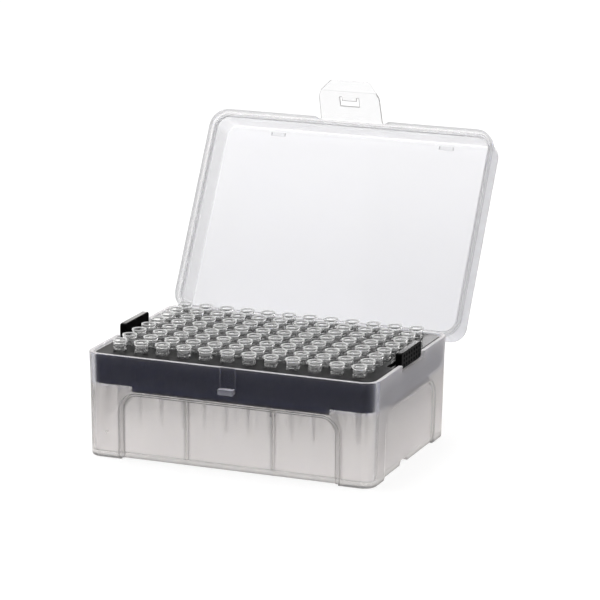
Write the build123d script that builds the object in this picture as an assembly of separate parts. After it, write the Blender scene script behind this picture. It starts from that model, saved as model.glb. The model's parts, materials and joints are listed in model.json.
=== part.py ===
from build123d import *
import math
import os

# Box of pipette tips: a drafted base, a black rack that carries 96 tips on a 9 mm grid,
# two sprung lift clips, and a hinged lid with a latch tab on a living hinge.
# Millimetres, +Z up. X runs along the long side, Y to the hinge side.
# The origin is the middle of the base on the plane of its feet. The lid is open at rest.

# ---- tip grid ----
COLUMNS = 12
ROWS = 8
PITCH = 9.0

# ---- base ----
GRID_MARGIN_X = 10.35        # from the outer tip centres to the outside of the rim
GRID_MARGIN_Y = 10.8
BASE_HEIGHT = 41.5
BASE_WALL = 1.6
BASE_CORNER = 6.2            # plan radius at the rim
RIM_FLARE = 0.35             # how far the rim stands out of the drafted wall, each side
FLARE_HEIGHT = 6.5
WALL_DRAFT = 0.65            # each side, from the foot of the flare down to the feet
FLOOR_THICKNESS = 1.6
FOOT_HEIGHT = 0.7
FOOT_ROUND = 0.9
RIM_ROUND = 0.35

# ---- arched panels sunk into the four walls ----
ARCH_FROM_END = 13.95        # from the ends of a long wall to its arch
ARCH_FROM_SIDE = 13.7        # from the ends of a short wall to its arch
ARCH_RADIUS = 8.0
ARCH_BAND = 2.0              # width of the step between the two outlines at the sides
ARCH_BAND_TOP = 0.9          # and along the top
ARCH_STEP = 0.5              # depth of each of the two steps
ARCH_SLOPE = 1.0             # each step leans outwards this far for its depth
FOOT_SETBACK = 1.0           # the feet end this far inside the arch outline

# ---- ribs and notches of the base ----
RIB_SPACING = 35.7
RIB_WIDTH = 1.0
RIB_DEPTH = 1.2
GUSSET_Y = 3.0
GUSSET_HEIGHT = 7.0
DRAIN_Y = -4.4
DRAIN_WIDTH = 9.0
DRAIN_TOP_WIDTH = 6.4
DRAIN_HEIGHT = 1.7

# ---- catch for the latch tab, on the front wall ----
CATCH_WIDTH = 6.2
CATCH_DROP = 8.1             # below the rim
CATCH_ROOT_HEIGHT = 1.5
CATCH_LIP_HEIGHT = 2.15
CATCH_REACH = 2.5
CATCH_TRACK_DEPTH = 0.25

# ---- rack ----
RACK_GAP = 0.4               # between the rack and the inside of the base
DECK_DROP = 0.5              # deck below the rim
DECK_THICKNESS = 1.6
DECK_BEVEL = 0.5             # along the outline of the deck
SKIRT_WALL = 1.5
SKIRT_DEPTH = 13.7           # from the deck down to the ledge of the base
SKIRT_CORNER_LIFT = 2.1
SKIRT_END_STEP = 5.4         # the skirt is full depth this far inside the long arches
SKIRT_SIDE_STEP = 7.1        # and this far inside the short ones
HOLE_CLEARANCE = 0.2
LEDGE_WIDTH = 1.0
ARCH_UNDER_LEDGE = 0.1

# ---- tips ----
TIP_STAND = 4.2              # rim of a tip above the deck
TIP_LENGTH = 32.0
TIP_RIM_RADIUS = 2.9
TIP_RIM_HEIGHT = 1.4
TIP_COLLAR_RADIUS = 2.55
TIP_BODY_RADIUS = 2.25
TIP_NECK_RADIUS = 1.75
TIP_STEM_RADIUS = 1.1
TIP_END_RADIUS = 0.42
TIP_COLLAR_HEIGHT = 3.3
TIP_STEP = 0.2               # height of the small slopes under the rim and the collar
TIP_SOCKET_RADIUS = 2.1
TIP_SOCKET_HEIGHT = 1.5
TIP_WALL = 0.42
TIP_NECK_DEPTH = 12.0        # from the rim down to the neck
TIP_STEM_DEPTH = 15.5        # from the rim down to where the fine stem starts
TIP_END_BORE = 0.2
TIP_FIN_COUNT = 4
TIP_FIN_THICKNESS = 0.55
TIP_FIN_SEAT = 0.35          # how far a fin stands on the deck beyond its hole
TIP_FIN_HEIGHT = 1.7
TIP_FIN_TURN_DEG = 45.0

# ---- lift clips ----
CLIP_LENGTH = 22.4
CLIP_STEM_THICKNESS = 1.5
CLIP_PAD_THICKNESS = 2.6
CLIP_PAD_HEIGHT = 6.5
CLIP_INSET = 0.9             # outer face of the pad inside the outside of the rim
CLIP_STAND = 4.3             # top of the pad above the rim
CLIP_ROUND = 1.2
CLIP_BEVEL = 0.3
CLIP_PIVOT_RISE = 2.05       # pivot above the bottom of the skirt
CLIP_ROOT_GAP = 0.3
CLIP_SLOT_CLEARANCE = 3.4    # slot of the deck past each end of a clip
CLIP_SLOT_ROOM = 2.3         # and behind the pad, for its travel
RIM_NOTCH_CLEARANCE = 1.3
RIM_NOTCH_GAP = 0.35         # under the pad
NOSE_WIDTH = 5.2
NOSE_DROP = 6.5              # bottom of the nose below the rim
NOSE_HEIGHT = 2.0
NOSE_REACH = 0.6             # past the inside of the wall
POCKET_CLEARANCE = 0.3
DIMPLE_ROWS = 3
DIMPLE_COLUMNS = 7
DIMPLE_RADIUS = 0.75
DIMPLE_DEPTH = 0.4
DIMPLE_PITCH_Y = 2.8
DIMPLE_PITCH_Z = 1.8

# ---- lid, as it lies when closed ----
LIP_THICKNESS = 0.9
LIP_GAP_X = 0.95             # between the lip and the outside of the rim, at the ends
LIP_GAP_Y = 0.3              # and at front and back
LIP_DEPTH = 1.8
LIP_HEIGHT = 2.6
LID_SEAT_GAP = 0.05
LID_WALL = 1.35
LID_CLIP_GAP = 0.4           # between the inside of the lid and the pads of the clips
LID_INNER_DEPTH = 14.9
LID_CEILING = 1.25
LID_DRAFT = 0.35
LID_INNER_DRAFT = 0.3
LID_CORNER = 7.6
LID_TOP_ROUND = 2.6
LID_INNER_ROUND = 1.3
LID_OPEN_DEG = 119.3
PIP_X = 37.0
PIP_FROM_FRONT = 4.2
PIP_LENGTH = 6.2
PIP_WIDTH = 1.4
PIP_HEIGHT = 0.4

# ---- lid hinge: pins on two arms of the lid snap into pairs of lugs ----
HINGE_OUT = 1.95             # axis behind the outside of the rim
HINGE_DROP = 2.7             # and below the rim
HINGE_FROM_END = 24.85
ARM_LENGTH = 9.0
ARM_RADIUS = 1.8
ARM_RISE = 5.6               # top of the web above the axis
ARM_ROOT = 0.4               # how deep the web runs into the wall of the lid
ARM_HEEL_TOP = 0.5
LUG_RADIUS = 2.0
LUG_THICKNESS = 2.4
LUG_FOOT_DROP = 6.8          # foot of a lug below the axis
LUG_CHIN = 1.0
HINGE_GAP = 0.3
PIN_RADIUS = 1.0
PIN_CLEARANCE = 0.05
LUG_NOTCH_CLEARANCE = 0.5
STOP_GAP = 0.06

# ---- latch tab ----
TAB_THICKNESS = 0.9
TAB_WALL_GAP = 0.15          # between the latched tab and the outside of the rim
TAB_ROOT_HALF = 13.3
TAB_SHOULDER_HALF = 13.05
TAB_SHOULDER = 11.0
TAB_SHOULDER_ROUND = 2.7
TAB_BEND = 13.3
TAB_BEND_HALF = 12.0
TAB_LENGTH = 17.8
TAB_TIP_HALF = 8.3
TAB_TIP_ROUND = 1.3
TAB_TIP_BEND_DEG = 43.0
TAB_HINGE_RISE = 0.4         # hinge line above the lid's rim plane
TAB_LEAN_DEG = 18.5          # how far the resting tab leans forward from upright
TAB_NOTCH_HALF = 14.7
TAB_NOTCH_FLARE = 0.8        # how much wider the notch is at the outside of the lip
TAB_NOTCH_HEIGHT = 1.1
TAB_NOTCH_PAST_LIP = 0.25
TAB_FACE_SETBACK = 0.55
SLOT_SIDE_CLEARANCE = 1.1
SLOT_TOP_CLEARANCE = 0.2
SLOT_BOTTOM_CLEARANCE = 0.25
TONGUE_LENGTH = 1.65

# ---- values that follow ----
BASE_LENGTH = PITCH * (COLUMNS - 1) + 2 * GRID_MARGIN_X
BASE_DEPTH = PITCH * (ROWS - 1) + 2 * GRID_MARGIN_Y
LONG_ARCH_HALF = BASE_LENGTH / 2 - ARCH_FROM_END
SHORT_ARCH_HALF = BASE_DEPTH / 2 - ARCH_FROM_SIDE
FLARE_Z = BASE_HEIGHT - FLARE_HEIGHT
FLOOR_TOP = FOOT_HEIGHT + FLOOR_THICKNESS
DECK_Z = BASE_HEIGHT - DECK_DROP
SKIRT_BOTTOM = DECK_Z - SKIRT_DEPTH
SKIRT_LONG_HALF = LONG_ARCH_HALF - SKIRT_END_STEP
SKIRT_SHORT_HALF = SHORT_ARCH_HALF - SKIRT_SIDE_STEP
ARCH_TOP = SKIRT_BOTTOM - ARCH_UNDER_LEDGE
CATCH_TOP = BASE_HEIGHT - CATCH_DROP
TIP_TOP = DECK_Z + TIP_STAND
DECK_HOLE_RADIUS = TIP_BODY_RADIUS + HOLE_CLEARANCE
TIP_FIN_REACH = DECK_HOLE_RADIUS + TIP_FIN_SEAT
CLIP_PAD_OUTER = BASE_LENGTH / 2 - CLIP_INSET
CLIP_TOP = BASE_HEIGHT + CLIP_STAND
CLIP_PAD_BOTTOM = CLIP_TOP - CLIP_PAD_HEIGHT
CLIP_PIVOT_Z = SKIRT_BOTTOM + CLIP_PIVOT_RISE
NOSE_BOTTOM = BASE_HEIGHT - NOSE_DROP
LID_LENGTH = BASE_LENGTH + 2 * (LIP_THICKNESS + LIP_GAP_X)
LID_WIDTH = BASE_DEPTH + 2 * (LIP_THICKNESS + LIP_GAP_Y)
LID_RIM_Z = BASE_HEIGHT + LID_SEAT_GAP - LIP_DEPTH
SHELF_Z = LID_RIM_Z + LIP_DEPTH
SHELF_INSET = LID_LENGTH / 2 - (CLIP_PAD_OUTER + LID_CLIP_GAP)
WALL_INSET = SHELF_INSET - LID_WALL
CEILING_Z = LID_RIM_Z + LID_INNER_DEPTH
LID_TOP = CEILING_Z + LID_CEILING
HINGE_X = BASE_LENGTH / 2 - HINGE_FROM_END
HINGE_Y = BASE_DEPTH / 2 + HINGE_OUT
HINGE_Z = BASE_HEIGHT - HINGE_DROP
TAB_Y = -(BASE_DEPTH / 2 + TAB_WALL_GAP + TAB_THICKNESS / 2)
TAB_Z = LID_RIM_Z + TAB_HINGE_RISE
TAB_REST_DEG = 180 - TAB_LEAN_DEG - LID_OPEN_DEG
SLOT_START = TAB_Z - CATCH_TOP - SLOT_TOP_CLEARANCE
TONGUE_END = TAB_Z - CATCH_TOP + CATCH_LIP_HEIGHT + SLOT_BOTTOM_CLEARANCE
SLOT_END = TONGUE_END + TONGUE_LENGTH
EPS = 0.5                    # how far a cutting tool runs past the face that it opens
LID_AXIS = Axis((0, HINGE_Y, HINGE_Z), (1, 0, 0))
TAB_AXIS = Axis((0, TAB_Y, TAB_Z), (1, 0, 0))


# ---- small helpers ----
def block(x0, x1, y0, y1, z0, z1):
    """A box between two corners."""
    centre = ((x0 + x1) / 2, (y0 + y1) / 2, (z0 + z1) / 2)
    return Pos(*centre) * Box(x1 - x0, y1 - y0, z1 - z0)


def rod(axis_y, axis_z, radius, x0, x1):
    """A cylinder along X."""
    return Pos((x0 + x1) / 2, axis_y, axis_z) * Rot(0, 90, 0) * Cylinder(radius, x1 - x0)


def side_profile(points, x0, x1):
    """A prism along X, whose outline is given as (y, z) points."""
    outline = Plane.YZ * make_face(Polyline(*points, close=True))
    return Pos(x0, 0, 0) * extrude(outline, amount=x1 - x0)


def stacked(levels):
    """A solid through rounded rectangles, each (z, half length, half depth, corner radius)."""
    slices = [Pos(0, 0, z) * RectangleRounded(2 * hx, 2 * hy, r) for z, hx, hy, r in levels]
    return loft(slices, ruled=True)


# ---- the walls of the base ----
def outer_inset(z):
    """How far the outside of the base lies inside its rim at height z."""
    if z > FLARE_Z:
        return RIM_FLARE * (BASE_HEIGHT - z) / FLARE_HEIGHT
    return RIM_FLARE + WALL_DRAFT * (FLARE_Z - z) / FLARE_Z


def inner_inset(z):
    """The same for the inside of the wall, which has the draft but not the flare."""
    return RIM_FLARE + BASE_WALL + WALL_DRAFT * (FLARE_Z - z) / FLARE_Z


def base_level(z, inset):
    """One slice of the base, this far inside the rim's outline."""
    return z, BASE_LENGTH / 2 - inset, BASE_DEPTH / 2 - inset, BASE_CORNER - inset


def base_shell():
    """The open box with its rounded rim, before panels, ribs and notches."""
    body = stacked([base_level(z, outer_inset(z)) for z in (0, FLARE_Z, BASE_HEIGHT)])
    body = fillet(body.faces().sort_by(Axis.Z)[0].edges(), FOOT_ROUND)
    body -= stacked([base_level(z, inner_inset(z)) for z in (FLOOR_TOP, BASE_HEIGHT + EPS)])
    body = fillet(body.faces().sort_by(Axis.Z)[-1].edges(), RIM_ROUND)
    body -= stacked([base_level(z, inner_inset(0)) for z in (-EPS, FOOT_HEIGHT)])
    return body


def wall_planes():
    """For each wall: a plane on its outside, and the half width of the arch in that wall."""
    lean = math.atan(WALL_DRAFT / FLARE_Z)
    across = BASE_LENGTH / 2 - outer_inset(0)
    deep = BASE_DEPTH / 2 - outer_inset(0)
    flat = math.cos(lean)
    dip = -math.sin(lean)
    return [
        (Plane(origin=(0, -deep, 0), x_dir=(1, 0, 0), z_dir=(0, -flat, dip)), LONG_ARCH_HALF),
        (Plane(origin=(0, deep, 0), x_dir=(-1, 0, 0), z_dir=(0, flat, dip)), LONG_ARCH_HALF),
        (Plane(origin=(across, 0, 0), x_dir=(0, 1, 0), z_dir=(flat, 0, dip)), SHORT_ARCH_HALF),
        (Plane(origin=(-across, 0, 0), x_dir=(0, -1, 0), z_dir=(-flat, 0, dip)), SHORT_ARCH_HALF),
    ]


def arch_face(plane, half_width, top, radius, depth):
    """The face of an arch at a depth behind the outside of a wall."""
    bottom = -2 * EPS
    outline = Pos(0, (top + bottom) / 2) * Rectangle(2 * half_width, top - bottom)
    outline = fillet(outline.vertices().group_by(Axis.Y)[-1], radius)
    return (plane.offset(-depth) * outline).face()


def arch(plane, half_width, top, radius, outer_depth, inner_depth, slope=0):
    """An arch-shaped slab between two depths behind the outside of a wall.

    With a slope it narrows towards its inner depth."""
    inset = slope * (inner_depth - outer_depth)
    outer = arch_face(plane, half_width, top, radius, outer_depth)
    inner = arch_face(plane, half_width - inset, top - inset, radius - inset, inner_depth)
    return loft([outer, inner], ruled=True)


def make_base():
    """Base: shell, sunk panels with the ledge behind them, ribs, notches, catch and lugs."""
    body = base_shell()
    inside = stacked([base_level(z, BASE_WALL / 2 + outer_inset(0)) for z in (FLOOR_TOP - EPS, SKIRT_BOTTOM)])
    panel_depth = 2 * ARCH_STEP
    for plane, half in wall_planes():
        ledge = arch(plane, half, SKIRT_BOTTOM + EPS, ARCH_RADIUS, BASE_WALL / 2, BASE_WALL + LEDGE_WIDTH)
        body += ledge & inside
    for plane, half in wall_planes():
        body -= arch(plane, half, ARCH_TOP, ARCH_RADIUS, 0, ARCH_STEP, ARCH_SLOPE)
        body -= arch(plane, half, ARCH_TOP, ARCH_RADIUS, -EPS, 0)
        inner_half = half - ARCH_BAND
        inner_top = ARCH_TOP - ARCH_BAND_TOP
        inner_radius = ARCH_RADIUS - ARCH_BAND
        body -= arch(plane, inner_half, inner_top, inner_radius, ARCH_STEP, panel_depth, ARCH_SLOPE)
        body -= arch(plane, inner_half, inner_top, inner_radius, -EPS, ARCH_STEP)
    body += base_ribs()
    body -= foot_gaps()
    body -= drain_notches()
    body -= rim_notches()
    body -= clip_pockets()
    body -= catch_track()
    body += catch()
    body += hinge_lugs()
    return body


def base_ribs():
    """Two stiffening ribs inside each long wall, and a small gusset inside each short wall."""
    ribs = Part()
    inner_y = BASE_DEPTH / 2 - inner_inset(0) - LEDGE_WIDTH
    inner_x = BASE_LENGTH / 2 - inner_inset(0) - LEDGE_WIDTH
    root = FLOOR_TOP - EPS
    for side in (-1, 1):
        for x in (-RIB_SPACING / 2, RIB_SPACING / 2):
            near, far = sorted((side * (inner_y - RIB_DEPTH), side * (inner_y + EPS)))
            ribs += block(x - RIB_WIDTH / 2, x + RIB_WIDTH / 2, near, far, root, ARCH_TOP - ARCH_BAND_TOP)
        near, far = sorted((side * (inner_x - RIB_DEPTH), side * (inner_x + EPS)))
        y = side * GUSSET_Y
        ribs += block(near, far, y - RIB_WIDTH / 2, y + RIB_WIDTH / 2, root, GUSSET_HEIGHT)
    return ribs


def foot_gaps():
    """The walls stop above the feet between the corners."""
    long_half = LONG_ARCH_HALF - FOOT_SETBACK
    short_half = SHORT_ARCH_HALF - FOOT_SETBACK
    reach_x = BASE_LENGTH
    reach_y = BASE_DEPTH
    gaps = block(-long_half, long_half, -reach_y, reach_y, -EPS, FOOT_HEIGHT)
    gaps += block(-reach_x, reach_x, -short_half, short_half, -EPS, FOOT_HEIGHT)
    return gaps


def drain_notches():
    """A slant-sided notch under each short wall."""
    notches = Part()
    top = FOOT_HEIGHT + DRAIN_HEIGHT
    slant = (DRAIN_WIDTH - DRAIN_TOP_WIDTH) / 2
    inner = BASE_LENGTH / 2 - inner_inset(0) - LEDGE_WIDTH - EPS
    outer = BASE_LENGTH / 2 + EPS
    for side in (-1, 1):
        left = side * DRAIN_Y - DRAIN_WIDTH / 2
        right = left + DRAIN_WIDTH
        points = [(left, -EPS), (left, FOOT_HEIGHT), (left + slant, top)]
        points += [(right - slant, top), (right, FOOT_HEIGHT), (right, -EPS)]
        near, far = sorted((side * inner, side * outer))
        notches += side_profile(points, near, far)
    return notches


def rim_notches():
    """The rim is cut away where the pads of the lift clips stand."""
    notches = Part()
    half = CLIP_LENGTH / 2 + RIM_NOTCH_CLEARANCE
    floor = CLIP_PAD_BOTTOM - RIM_NOTCH_GAP
    for side in (-1, 1):
        near, far = sorted((side * (BASE_LENGTH / 2 - 3 * BASE_WALL), side * (BASE_LENGTH / 2 + EPS)))
        notches += block(near, far, -half, half, floor, BASE_HEIGHT + EPS)
    return notches


def clip_pockets():
    """Shallow pockets inside the short walls that the clips' noses click into."""
    pockets = Part()
    half = NOSE_WIDTH / 2 + POCKET_CLEARANCE
    low = NOSE_BOTTOM - POCKET_CLEARANCE
    high = NOSE_BOTTOM + NOSE_HEIGHT + POCKET_CLEARANCE
    bottom_x = BASE_LENGTH / 2 - inner_inset(NOSE_BOTTOM) + NOSE_REACH + POCKET_CLEARANCE / 2
    for side in (-1, 1):
        near, far = sorted((side * (bottom_x - 2 * BASE_WALL), side * bottom_x))
        pockets += block(near, far, -half, half, low, high)
    return pockets


def catch_track():
    """A very shallow track in the front wall, from the rim down to the catch."""
    face = BASE_DEPTH / 2 - outer_inset(CATCH_TOP)
    half = CATCH_WIDTH / 2
    return block(-half, half, -BASE_DEPTH, -(face - CATCH_TRACK_DEPTH), CATCH_TOP, BASE_HEIGHT + EPS)


def catch():
    """The hook that the latch tab's slot drops over: flat on top, undercut below."""
    face = BASE_DEPTH / 2 - outer_inset(CATCH_TOP - CATCH_LIP_HEIGHT)
    root = -(face - BASE_WALL / 2)
    lip = -(face + CATCH_REACH)
    root_z = CATCH_TOP - CATCH_ROOT_HEIGHT
    points = [(root, CATCH_TOP), (lip, CATCH_TOP), (lip, CATCH_TOP - CATCH_LIP_HEIGHT), (-face, root_z)]
    points += [(root, root_z)]
    return side_profile(points, -CATCH_WIDTH / 2, CATCH_WIDTH / 2)


def lug_starts():
    """Left end in X of each of the four hinge lugs."""
    offset = ARM_LENGTH / 2 + HINGE_GAP
    starts = []
    for centre in (-HINGE_X, HINGE_X):
        starts += [centre - offset - LUG_THICKNESS, centre + offset]
    return starts


def hinge_lugs():
    """Two pairs of lugs behind the rear wall, each with a hole for a pin of the lid."""
    lugs = Part()
    foot_z = HINGE_Z - LUG_FOOT_DROP
    wall_y = BASE_DEPTH / 2 - outer_inset(foot_z) - BASE_WALL / 2
    top = HINGE_Z + LUG_RADIUS
    nose = HINGE_Y + LUG_RADIUS
    points = [(wall_y, top), (HINGE_Y, top), (nose, HINGE_Z), (nose, HINGE_Z - LUG_CHIN)]
    points += [(wall_y + BASE_WALL / 2 + EPS, foot_z), (wall_y, foot_z)]
    for start in lug_starts():
        end = start + LUG_THICKNESS
        plate = side_profile(points, start, end) + rod(HINGE_Y, HINGE_Z, LUG_RADIUS, start, end)
        lugs += plate - rod(HINGE_Y, HINGE_Z, PIN_RADIUS + PIN_CLEARANCE, start - EPS, end + EPS)
    return lugs


# ---- rack ----
def rack_level(z, inset):
    """One slice of the rack, this far inside its outline, which follows the base's inside."""
    return base_level(z, inner_inset(z) + RACK_GAP + inset)


def tip_places():
    """Centres of the tips, one list for each column."""
    first_x = -PITCH * (COLUMNS - 1) / 2
    first_y = -PITCH * (ROWS - 1) / 2
    return [
        [(first_x + PITCH * column, first_y + PITCH * row) for row in range(ROWS)]
        for column in range(COLUMNS)
    ]


def rack_edge():
    """Half length of the rack at its deck."""
    return BASE_LENGTH / 2 - inner_inset(DECK_Z) - RACK_GAP


def make_rack():
    """Rack: a deck with 96 holes and a skirt, slotted at both ends for the lift clips."""
    levels = [(SKIRT_BOTTOM, 0), (DECK_Z - DECK_BEVEL, 0), (DECK_Z, DECK_BEVEL)]
    body = stacked([rack_level(z, inset) for z, inset in levels])
    ceiling = DECK_Z - DECK_THICKNESS
    body -= stacked([rack_level(z, SKIRT_WALL) for z in (SKIRT_BOTTOM - EPS, ceiling)])
    lifted = block(-BASE_LENGTH, BASE_LENGTH, -BASE_DEPTH, BASE_DEPTH, SKIRT_BOTTOM - EPS,
                   SKIRT_BOTTOM + SKIRT_CORNER_LIFT)
    lifted -= block(-SKIRT_LONG_HALF, SKIRT_LONG_HALF, -BASE_DEPTH, BASE_DEPTH, 0, BASE_HEIGHT)
    lifted -= block(-BASE_LENGTH, BASE_LENGTH, -SKIRT_SHORT_HALF, SKIRT_SHORT_HALF, 0, BASE_HEIGHT)
    body -= lifted
    slot_floor = CLIP_PIVOT_Z - CLIP_STEM_THICKNESS / 2 - CLIP_ROOT_GAP
    slot_back = CLIP_PAD_OUTER - CLIP_PAD_THICKNESS - CLIP_SLOT_ROOM
    slot_half = CLIP_LENGTH / 2 + CLIP_SLOT_CLEARANCE
    for side in (-1, 1):
        near, far = sorted((side * slot_back, side * (rack_edge() + EPS)))
        body -= block(near, far, -slot_half, slot_half, slot_floor, DECK_Z + EPS)
    holes = [
        Pos(x, y, DECK_Z - DECK_THICKNESS / 2) * Cylinder(DECK_HOLE_RADIUS, 2 * DECK_THICKNESS)
        for column in tip_places() for x, y in column
    ]
    return body - holes


# ---- lift clips ----
def make_clip(side):
    """Lift clip: a stem that flexes about its root, a nose, and a finger pad with dimples."""
    half = CLIP_LENGTH / 2
    stem_outer = rack_edge() - WALL_DRAFT / 4
    stem_inner = stem_outer - CLIP_STEM_THICKNESS
    pivot_x = (stem_outer + stem_inner) / 2
    body = block(stem_inner, stem_outer, -half, half, CLIP_PIVOT_Z, CLIP_PAD_BOTTOM + 2 * EPS)
    root = Pos(pivot_x, 0, CLIP_PIVOT_Z) * Rot(90, 0, 0) * Cylinder(CLIP_STEM_THICKNESS / 2, CLIP_LENGTH)
    body += root
    pad_inner = CLIP_PAD_OUTER - CLIP_PAD_THICKNESS
    pad = block(pad_inner, CLIP_PAD_OUTER, -half, half, CLIP_PAD_BOTTOM, CLIP_TOP)
    pad = fillet(pad.edges().filter_by(Axis.X), CLIP_ROUND)
    pad = chamfer(pad.edges().group_by(Axis.X)[0] + pad.edges().group_by(Axis.X)[-1], CLIP_BEVEL)
    body += pad
    nose_tip = BASE_LENGTH / 2 - inner_inset(NOSE_BOTTOM) + NOSE_REACH
    body += block(pivot_x, nose_tip, -NOSE_WIDTH / 2, NOSE_WIDTH / 2, NOSE_BOTTOM, NOSE_BOTTOM + NOSE_HEIGHT)
    body -= dimples()
    if side < 0:
        body = body.rotate(Axis.Z, 180)
    return body


def dimples():
    """Rows of shallow round dimples in the outer face of the pad."""
    reach = (DIMPLE_RADIUS ** 2 + DIMPLE_DEPTH ** 2) / (2 * DIMPLE_DEPTH)
    centre_x = CLIP_PAD_OUTER - DIMPLE_DEPTH + reach
    middle_z = (CLIP_PAD_BOTTOM + CLIP_TOP) / 2
    balls = []
    for row in range(DIMPLE_ROWS):
        z = middle_z + (row - (DIMPLE_ROWS - 1) / 2) * DIMPLE_PITCH_Z
        for column in range(DIMPLE_COLUMNS):
            y = (column - (DIMPLE_COLUMNS - 1) / 2) * DIMPLE_PITCH_Y
            balls.append(Pos(centre_x, y, z) * Sphere(reach))
    return balls


# ---- tips ----
def make_tip():
    """One tip, standing on the deck at the origin of the grid."""
    collar_z = TIP_TOP - TIP_COLLAR_HEIGHT
    outside = [
        (TIP_RIM_RADIUS, TIP_TOP),
        (TIP_RIM_RADIUS, TIP_TOP - TIP_RIM_HEIGHT),
        (TIP_COLLAR_RADIUS, TIP_TOP - TIP_RIM_HEIGHT - TIP_STEP),
        (TIP_COLLAR_RADIUS, collar_z),
        (TIP_BODY_RADIUS, collar_z - TIP_STEP),
        (TIP_NECK_RADIUS, TIP_TOP - TIP_NECK_DEPTH),
        (TIP_STEM_RADIUS, TIP_TOP - TIP_STEM_DEPTH),
        (TIP_END_RADIUS, TIP_TOP - TIP_LENGTH),
    ]
    inside = [
        (TIP_END_BORE, TIP_TOP - TIP_LENGTH),
        (TIP_STEM_RADIUS - TIP_WALL, TIP_TOP - TIP_STEM_DEPTH),
        (TIP_NECK_RADIUS - TIP_WALL, TIP_TOP - TIP_NECK_DEPTH),
        (TIP_BODY_RADIUS - TIP_WALL, collar_z),
        (TIP_SOCKET_RADIUS, TIP_TOP - TIP_SOCKET_HEIGHT),
        (TIP_SOCKET_RADIUS, TIP_TOP),
    ]
    outline = Plane.XZ * make_face(Polyline(*outside, *inside, close=True))
    body = revolve(outline, axis=Axis.Z)
    fin_reach = TIP_FIN_REACH - TIP_SOCKET_RADIUS
    for turn in range(TIP_FIN_COUNT):
        fin = Box(fin_reach, TIP_FIN_THICKNESS, TIP_FIN_HEIGHT)
        fin = Pos(TIP_SOCKET_RADIUS + fin_reach / 2, 0, DECK_Z + TIP_FIN_HEIGHT / 2) * fin
        body += Rot(0, 0, TIP_FIN_TURN_DEG + turn * 360 / TIP_FIN_COUNT) * fin
    return body


# ---- lid ----
def lid_level(z, inset):
    """One slice of the closed lid, this far inside the outline of its lip."""
    return z, LID_LENGTH / 2 - inset, LID_WIDTH / 2 - inset, LID_CORNER - inset


def lid_shell():
    """The closed lid's tray: a lip that laps over the rim, a shelf that rests on it, a ceiling."""
    body = stacked([lid_level(LID_RIM_Z, WALL_INSET), lid_level(LID_TOP, WALL_INSET + LID_DRAFT)])
    body = fillet(body.faces().sort_by(Axis.Z)[-1].edges(), LID_TOP_ROUND)
    body += stacked([lid_level(LID_RIM_Z, 0), lid_level(LID_RIM_Z + LIP_HEIGHT, 0)])
    hollow = stacked([
        lid_level(LID_RIM_Z - EPS, SHELF_INSET),
        lid_level(CEILING_Z, SHELF_INSET + LID_INNER_DRAFT),
    ])
    hollow = fillet(hollow.faces().sort_by(Axis.Z)[-1].edges(), LID_INNER_ROUND)
    body -= hollow
    body -= stacked([lid_level(LID_RIM_Z - EPS, LIP_THICKNESS), lid_level(SHELF_Z, LIP_THICKNESS)])
    return body


def hinge_arms():
    """Two arms behind the lid: barrel, web to the rear wall, stop heel, and a pin at each end."""
    arms = Part()
    lid_back = LID_WIDTH / 2
    lip_root = lid_back - LIP_THICKNESS / 2
    wall_root = lid_back - WALL_INSET - ARM_ROOT
    lip_top = LID_RIM_Z + LIP_HEIGHT
    web_top = HINGE_Z + ARM_RISE
    web_outer = HINGE_Y + ARM_RADIUS
    points = [(lip_root, HINGE_Z), (web_outer, HINGE_Z), (web_outer, HINGE_Z + ARM_RADIUS)]
    points += [(lid_back - WALL_INSET, web_top), (wall_root, web_top), (wall_root, lip_top - EPS)]
    points += [(lip_root, lip_top - EPS)]
    wall_y = BASE_DEPTH / 2 - outer_inset(HINGE_Z) + STOP_GAP
    for centre in (-HINGE_X, HINGE_X):
        start = centre - ARM_LENGTH / 2
        end = centre + ARM_LENGTH / 2
        pin_reach = HINGE_GAP + LUG_THICKNESS
        heel = block(start, end, wall_y, HINGE_Y, HINGE_Z - ARM_RADIUS, HINGE_Z - ARM_HEEL_TOP)
        arms += rod(HINGE_Y, HINGE_Z, ARM_RADIUS, start, end)
        arms += side_profile(points, start, end)
        arms += heel.rotate(LID_AXIS, LID_OPEN_DEG)
        arms += rod(HINGE_Y, HINGE_Z, PIN_RADIUS, start - pin_reach, end + pin_reach)
    return arms


def lug_notches():
    """The rear lip is cut away around each pair of lugs."""
    notches = Part()
    top = HINGE_Z + LUG_RADIUS + LUG_NOTCH_CLEARANCE
    half = ARM_LENGTH / 2 + HINGE_GAP + LUG_THICKNESS + LUG_NOTCH_CLEARANCE
    inner = LID_WIDTH / 2 - LIP_THICKNESS - EPS / 2
    for centre in (-HINGE_X, HINGE_X):
        notches += block(centre - half, centre + half, inner, LID_WIDTH / 2 + EPS, LID_RIM_Z - EPS, top)
    return notches


def tab_notch():
    """A slant-ended notch through the front lip, and a setback of the lip's face above it."""
    front = -LID_WIDTH / 2
    back = front + LIP_THICKNESS + TAB_NOTCH_PAST_LIP
    wide = TAB_NOTCH_HALF + TAB_NOTCH_FLARE
    plan = [(-wide, front - EPS), (-wide, front), (-TAB_NOTCH_HALF, back)]
    plan += [(TAB_NOTCH_HALF, back), (wide, front), (wide, front - EPS)]
    outline = Plane.XY * make_face(Polyline(*plan, close=True))
    notch = Pos(0, 0, LID_RIM_Z - EPS) * extrude(outline, amount=TAB_NOTCH_HEIGHT + EPS)
    notch += block(-wide, wide, front - EPS, front + TAB_FACE_SETBACK, LID_RIM_Z - EPS,
                   LID_RIM_Z + LIP_HEIGHT + EPS)
    return notch


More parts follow.
